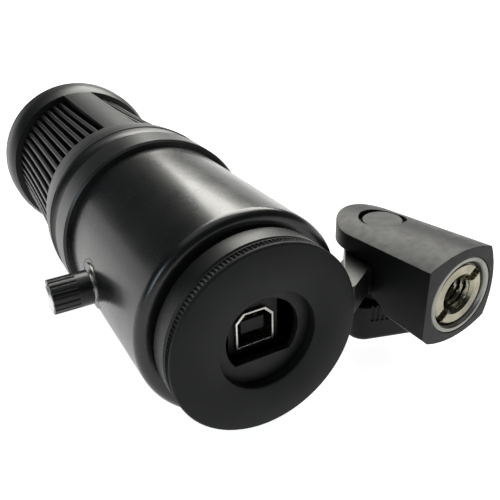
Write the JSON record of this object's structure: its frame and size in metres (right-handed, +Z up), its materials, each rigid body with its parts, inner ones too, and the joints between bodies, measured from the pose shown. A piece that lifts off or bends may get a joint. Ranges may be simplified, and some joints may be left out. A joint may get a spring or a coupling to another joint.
{
  "type": "usb studio microphone",
  "caption": "Side-address USB studio microphone with ribbed head grille, side volume knob, and a clamp-and-tilt stand swivel with a threaded socket.",
  "frame": {"origin": "bottom centre of the whole object's bounding box, as it lies on a table", "axes": "+Y along the microphone from the USB end to the head, +Z up, +X towards the stand swivel"},
  "size_m": [0.092, 0.1558, 0.0536],
  "materials": {
    "black_lacquer": "satin black lacquer",
    "black_trim": "smooth satin black paint on cast rings",
    "black_casting": "fine-textured black paint",
    "matte_black_metal": "matte black, machined face",
    "dark_mesh": "black woven wire",
    "foam": "open-cell black foam",
    "nickel": "bright nickel plate",
    "pale_gold": "bright pale gold plate",
    "brass": "turned brass",
    "zinc": "dull grey zinc",
    "steel": "zinc-plated screws",
    "aluminium": "turned aluminium",
    "silver_cap": "turned bright aluminium",
    "gold_film": "sputtered gold film",
    "black_plastic": "satin black moulded plastic",
    "knob_plastic": "semi-gloss black plastic",
    "dark_plastic": "black moulded plastic",
    "grey_plastic": "grey moulded plastic",
    "nylon": "black nylon",
    "rubber": "black rubber",
    "board_black": "black solder mask on glass-epoxy",
    "chip_black": "moulded chip packages",
    "lead_insulation": "red insulation"
  },
  "bodies": {
    "microphone": {"body_tube": "black_lacquer", "base_plug": "matte_black_metal", "usb_plate": "dark_plastic", "base_screws": "steel", "head_ring": "black_trim", "head_collar": "black_trim", "bulkhead": "grey_plastic", "head_frame": "black_casting", "front_grille": "black_casting", "rear_grille": "black_casting", "inner_mesh": "dark_mesh", "foam_liner": "foam", "top_cap": "black_trim", "capsule_housing": "brass", "capsule_backplate": "brass", "capsule_diaphragm": "gold_film", "capsule_clamp_ring": "brass", "capsule_screws": "steel", "capsule_saddle": "grey_plastic", "isolator": "rubber", "capsule_leads": "lead_insulation", "main_board": "board_black", "chassis_rails": "aluminium", "board_screws": "steel", "board_chips": "chip_black", "board_capacitors": "aluminium", "usb_shell": "nickel", "usb_housing": "dark_plastic", "usb_tongue": "dark_plastic", "usb_contacts": "pale_gold", "pot_body": "aluminium", "knob_bezel": "nickel", "friction_washer": "rubber"},
    "volume_control": {"pot_shaft": "aluminium", "volume_knob": "knob_plastic", "knob_cap": "silver_cap"},
    "ring_nut": {"ring_nut": "matte_black_metal"},
    "stand_collar": {"mount_collar": "black_casting"},
    "swivel": {"swivel_barrel": "black_plastic", "thread_insert": "zinc", "pivot_bolt": "steel", "pivot_cap": "black_plastic", "tilt_washers": "nylon", "clamp_washer": "nylon"},
    "adapter": {"thread_adapter": "pale_gold"},
    "clamp": {"clamp_knob": "black_plastic", "clamp_nut": "brass"}
  },
  "joints": [
    {"name": "volume_turn", "type": "hinge", "parent": "microphone", "child": "volume_control", "pos_m": [-0.04064, -0.02793, 0.0268], "axis": [-1, 0, 0], "range_deg": [-150, 150]},
    {"name": "ring_nut_turn", "type": "hinge", "parent": "microphone", "child": "ring_nut", "pos_m": [-0.01064, -0.06763, 0.0268], "axis": [0, -1, 0], "continuous": true},
    {"name": "collar_turn", "type": "hinge", "parent": "microphone", "child": "stand_collar", "pos_m": [-0.01064, -0.06333, 0.0268], "axis": [0, -1, 0], "range_deg": [-90, 90]},
    {"name": "swivel_tilt", "type": "hinge", "parent": "stand_collar", "child": "swivel", "pos_m": [0.03336, -0.05113, 0.0268], "axis": [0, 0, 1], "range_deg": [-4, 176]},
    {"name": "clamp_knob_turn", "type": "hinge", "parent": "swivel", "child": "clamp", "pos_m": [0.03336, -0.05113, 0.0128], "axis": [0, 0, -1], "continuous": true},
    {"name": "adapter_turn", "type": "hinge", "parent": "swivel", "child": "adapter", "pos_m": [0.03475, -0.07108, 0.0272], "axis": [0.0698, -0.9976, 0], "continuous": true}
  ]
}
